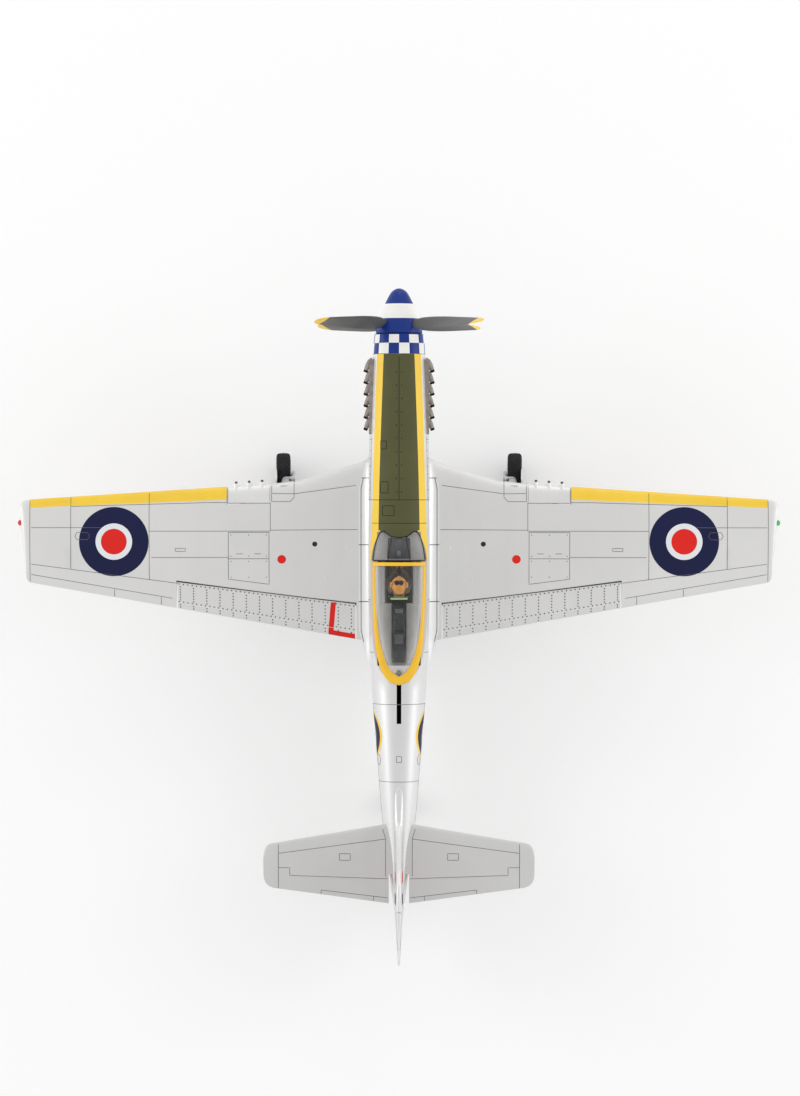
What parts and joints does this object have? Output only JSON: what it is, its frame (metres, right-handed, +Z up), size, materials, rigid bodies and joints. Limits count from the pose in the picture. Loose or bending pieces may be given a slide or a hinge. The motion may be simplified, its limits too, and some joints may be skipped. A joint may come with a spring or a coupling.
{
  "type": "propeller plane model",
  "caption": "Die-cast display model of a single-seat low-wing fighter: turning propeller, sliding canopy, hinged flaps, folding wheel legs and a belly socket for a stand.",
  "frame": {"origin": "on the ground, under the middle of the standing model", "axes": "+X to starboard along the span, +Y toward the nose, +Z up; the model stands tail-down on its wheels"},
  "size_m": [0.235, 0.2038, 0.077],
  "materials": {
    "wing_paint": "satin",
    "silver_paint": "satin",
    "yellow_paint": "gloss",
    "blue_paint": "gloss",
    "black_paint": "satin",
    "clear_plastic": "gloss",
    "tyre_rubber": "matte",
    "steel": "satin",
    "brass": "satin",
    "hub_paint": "satin",
    "cockpit_green": "matte",
    "cockpit_black": "matte",
    "figure_paint": "matte",
    "exhaust_paint": "matte",
    "red_lens": "gloss",
    "green_lens": "gloss"
  },
  "bodies": {
    "airframe": {"fuselage_left": "silver_paint", "fuselage_right": "silver_paint", "wing_left": "wing_paint", "wing_right": "wing_paint", "radiator_scoop": "silver_paint", "radiator_core": "black_paint", "stabilizer_left": "wing_paint", "stabilizer_right": "wing_paint", "tail_fin": "silver_paint", "rudder": "silver_paint", "nose_plate": "black_paint", "prop_bush": "brass", "cockpit_tub": "cockpit_green", "instrument_panel": "cockpit_black", "gunsight": "steel", "pilot_seat": "cockpit_green", "armour_plate": "cockpit_green", "pilot_figure": "figure_paint", "radio_deck": "cockpit_black", "windscreen_frame": "yellow_paint", "windscreen_glass": "clear_plastic", "exhaust_left": "exhaust_paint", "exhaust_right": "exhaust_paint", "gun_insert_left": "silver_paint", "gun_insert_right": "silver_paint", "gun_barrels": "black_paint", "tip_light_left": "red_lens", "tip_light_right": "green_lens", "stand_socket": "steel", "screws": "steel", "leg_pin_left": "steel", "leg_pin_right": "steel", "tail_strut": "steel"},
    "propeller_unit": {"spinner": "blue_paint", "spinner_backplate": "blue_paint", "propeller": "black_paint", "prop_shaft": "steel", "shaft_collar": "steel"},
    "canopy": {"canopy_frame": "yellow_paint", "canopy_glass": "clear_plastic", "canopy_runner": "steel"},
    "leg_left": {"leg_barrel_left": "silver_paint", "leg_piston_left": "steel", "torque_link_left": "steel", "leg_door_left": "silver_paint"},
    "leg_right": {"leg_barrel_right": "silver_paint", "leg_piston_right": "steel", "torque_link_right": "steel", "leg_door_right": "silver_paint"},
    "wheel_left": {"tyre_left": "tyre_rubber", "hub_left": "hub_paint"},
    "wheel_right": {"tyre_right": "tyre_rubber", "hub_right": "hub_paint"},
    "tail_wheel": {"tail_tyre": "tyre_rubber", "tail_hub": "hub_paint"},
    "flap_unit_left": {"flap_left": "wing_paint", "flap_rod_left": "steel"},
    "flap_unit_right": {"flap_right": "wing_paint", "flap_rod_right": "steel"}
  },
  "joints": [
    {"name": "propeller_spin", "type": "hinge", "parent": "airframe", "child": "propeller_unit", "pos_m": [0, 0.08531, 0.05044], "axis": [0, 0.9786, 0.206], "continuous": true},
    {"name": "canopy_slide", "type": "slide", "parent": "airframe", "child": "canopy", "axis": [0, -0.9786, -0.206], "range_m": [0, 0.0115]},
    {"name": "leg_fold_left", "type": "hinge", "parent": "airframe", "child": "leg_left", "pos_m": [-0.03497, 0.04466, 0.03182], "axis": [0, -0.9279, -0.3728], "range_deg": [0, 86.5]},
    {"name": "leg_fold_right", "type": "hinge", "parent": "airframe", "child": "leg_right", "pos_m": [0.03497, 0.04466, 0.03182], "axis": [0, 0.9279, 0.3728], "range_deg": [0, 86.5]},
    {"name": "wheel_spin_left", "type": "hinge", "parent": "leg_left", "child": "wheel_left", "pos_m": [-0.0365, 0.05456, 0.00717], "axis": [0.9994, 0.013, -0.0324], "continuous": true},
    {"name": "wheel_spin_right", "type": "hinge", "parent": "leg_right", "child": "wheel_right", "pos_m": [0.0365, 0.05456, 0.00717], "axis": [0.9994, -0.013, 0.0324], "continuous": true},
    {"name": "tail_wheel_spin", "type": "hinge", "parent": "airframe", "child": "tail_wheel", "pos_m": [0, -0.04835, 0.0033], "axis": [1, 0, 0], "continuous": true},
    {"name": "flap_hinge_left", "type": "hinge", "parent": "airframe", "child": "flap_unit_left", "pos_m": [-0.0132, 0.01052, 0.02296], "axis": [0.988, -0.1023, -0.1158], "range_deg": [0, 47]},
    {"name": "flap_hinge_right", "type": "hinge", "parent": "airframe", "child": "flap_unit_right", "pos_m": [0.0132, 0.01052, 0.02296], "axis": [0.988, 0.1023, 0.1158], "range_deg": [0, 47]}
  ]
}
